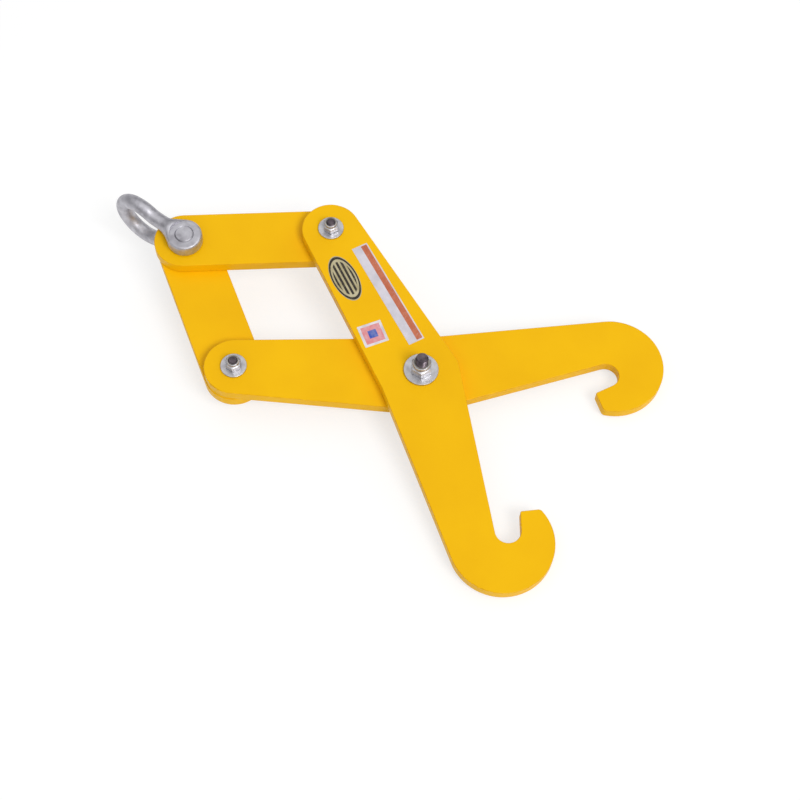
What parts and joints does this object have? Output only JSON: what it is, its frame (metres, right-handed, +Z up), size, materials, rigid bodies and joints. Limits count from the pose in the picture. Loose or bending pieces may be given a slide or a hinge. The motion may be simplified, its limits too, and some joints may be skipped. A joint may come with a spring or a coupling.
{
  "type": "lifting tongs",
  "caption": "Scissor lifting tongs of crossed plate arms with hooked jaws, joined by plate links to a screw pin bow shackle.",
  "frame": {"origin": "centre of the footprint of the tongs lying flat, at the lowest point, which is the eye of the shackle pin", "axes": "+Z up, normal to the plates, towards the side with the nuts; +Y along the line of symmetry from the hooks to the shackle; +X towards the pivot of the front link"},
  "size_m": [0.3328, 0.5926, 0.1137],
  "materials": {
    "yellow": "semi-gloss",
    "zinc": "zinc plated",
    "bolt_steel": "dark plated",
    "galvanised": "hot dip galvanised",
    "nylon": "matte",
    "strip_film": "satin",
    "square_film": "satin",
    "oval_film": "satin"
  },
  "bodies": {
    "shackle": {"shackle_bow": "galvanised", "shackle_pin": "galvanised"},
    "front_link": {"front_link": "yellow"},
    "front_arm": {"front_arm": "yellow", "centre_bolt": "bolt_steel", "centre_rear_washer": "zinc", "centre_front_washer": "zinc", "centre_lock_nut": "zinc", "centre_nut_insert": "nylon", "front_link_bolt": "bolt_steel", "front_link_rear_washer": "zinc", "front_link_front_washer": "zinc", "front_link_lock_nut": "zinc", "front_link_nut_insert": "nylon", "strip_label": "strip_film", "square_label": "square_film", "oval_label": "oval_film"},
    "rear_arm": {"rear_arm": "yellow", "rear_link_bolt": "bolt_steel", "rear_link_rear_washer": "zinc", "rear_link_front_washer": "zinc", "rear_link_lock_nut": "zinc", "rear_link_nut_insert": "nylon"},
    "rear_link": {"rear_link": "yellow"}
  },
  "joints": [
    {"name": "shackle_swing", "type": "hinge", "parent": "shackle", "child": "front_link", "pos_m": [0.00276, 0.20356, 0.0605], "axis": [0, 0, 1], "range_deg": [-85, 85]},
    {"name": "front_link_pivot", "type": "hinge", "parent": "front_link", "child": "front_arm", "pos_m": [0.0911, 0.07941, 0.0734], "axis": [0, 0, 1], "range_deg": [-20, 43]},
    {"name": "jaw_pivot", "type": "hinge", "parent": "front_arm", "child": "rear_arm", "pos_m": [0, -0.08561, 0.0734], "axis": [0, 0, 1], "range_deg": [-36, 16]},
    {"name": "rear_link_pivot", "type": "hinge", "parent": "rear_arm", "child": "rear_link", "pos_m": [-0.0911, 0.07941, 0.0603], "axis": [0, 0, 1], "range_deg": [-20, 43]}
  ],
  "couplings": [
    {"joint": "front_link_pivot", "follows": "jaw_pivot", "ratio": -1.156},
    {"joint": "rear_link_pivot", "follows": "jaw_pivot", "ratio": -1.156}
  ]
}
